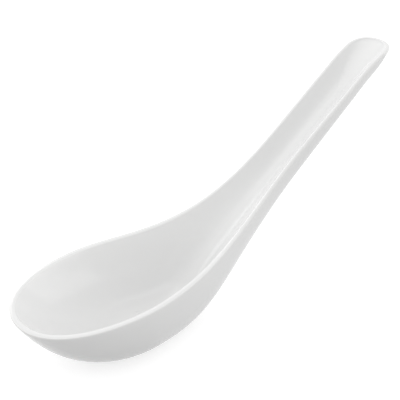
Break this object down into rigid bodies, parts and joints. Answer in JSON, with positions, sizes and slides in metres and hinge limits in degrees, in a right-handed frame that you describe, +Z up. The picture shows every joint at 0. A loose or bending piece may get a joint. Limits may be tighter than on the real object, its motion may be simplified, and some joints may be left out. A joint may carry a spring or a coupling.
{
  "type": "amuse-bouche spoon",
  "caption": "Glazed white porcelain tasting spoon with a deep egg-shaped bowl that flows into a sloping trough handle, standing on a bare oval foot.",
  "frame": {"origin": "centre of the bare oval foot, on the plane that the spoon stands on", "axes": "+X from the tip of the bowl to the end of the handle, +Y across the bowl, +Z up from the table"},
  "size_m": [0.1299, 0.039, 0.0686],
  "materials": {
    "bare_porcelain": "fired and ground smooth, matt, bare only at the foot",
    "white_glaze": "clear gloss glaze over white porcelain"
  },
  "bodies": {
    "root": {"porcelain_body": "bare_porcelain", "glaze_coat": "white_glaze"}
  },
  "joints": []
}
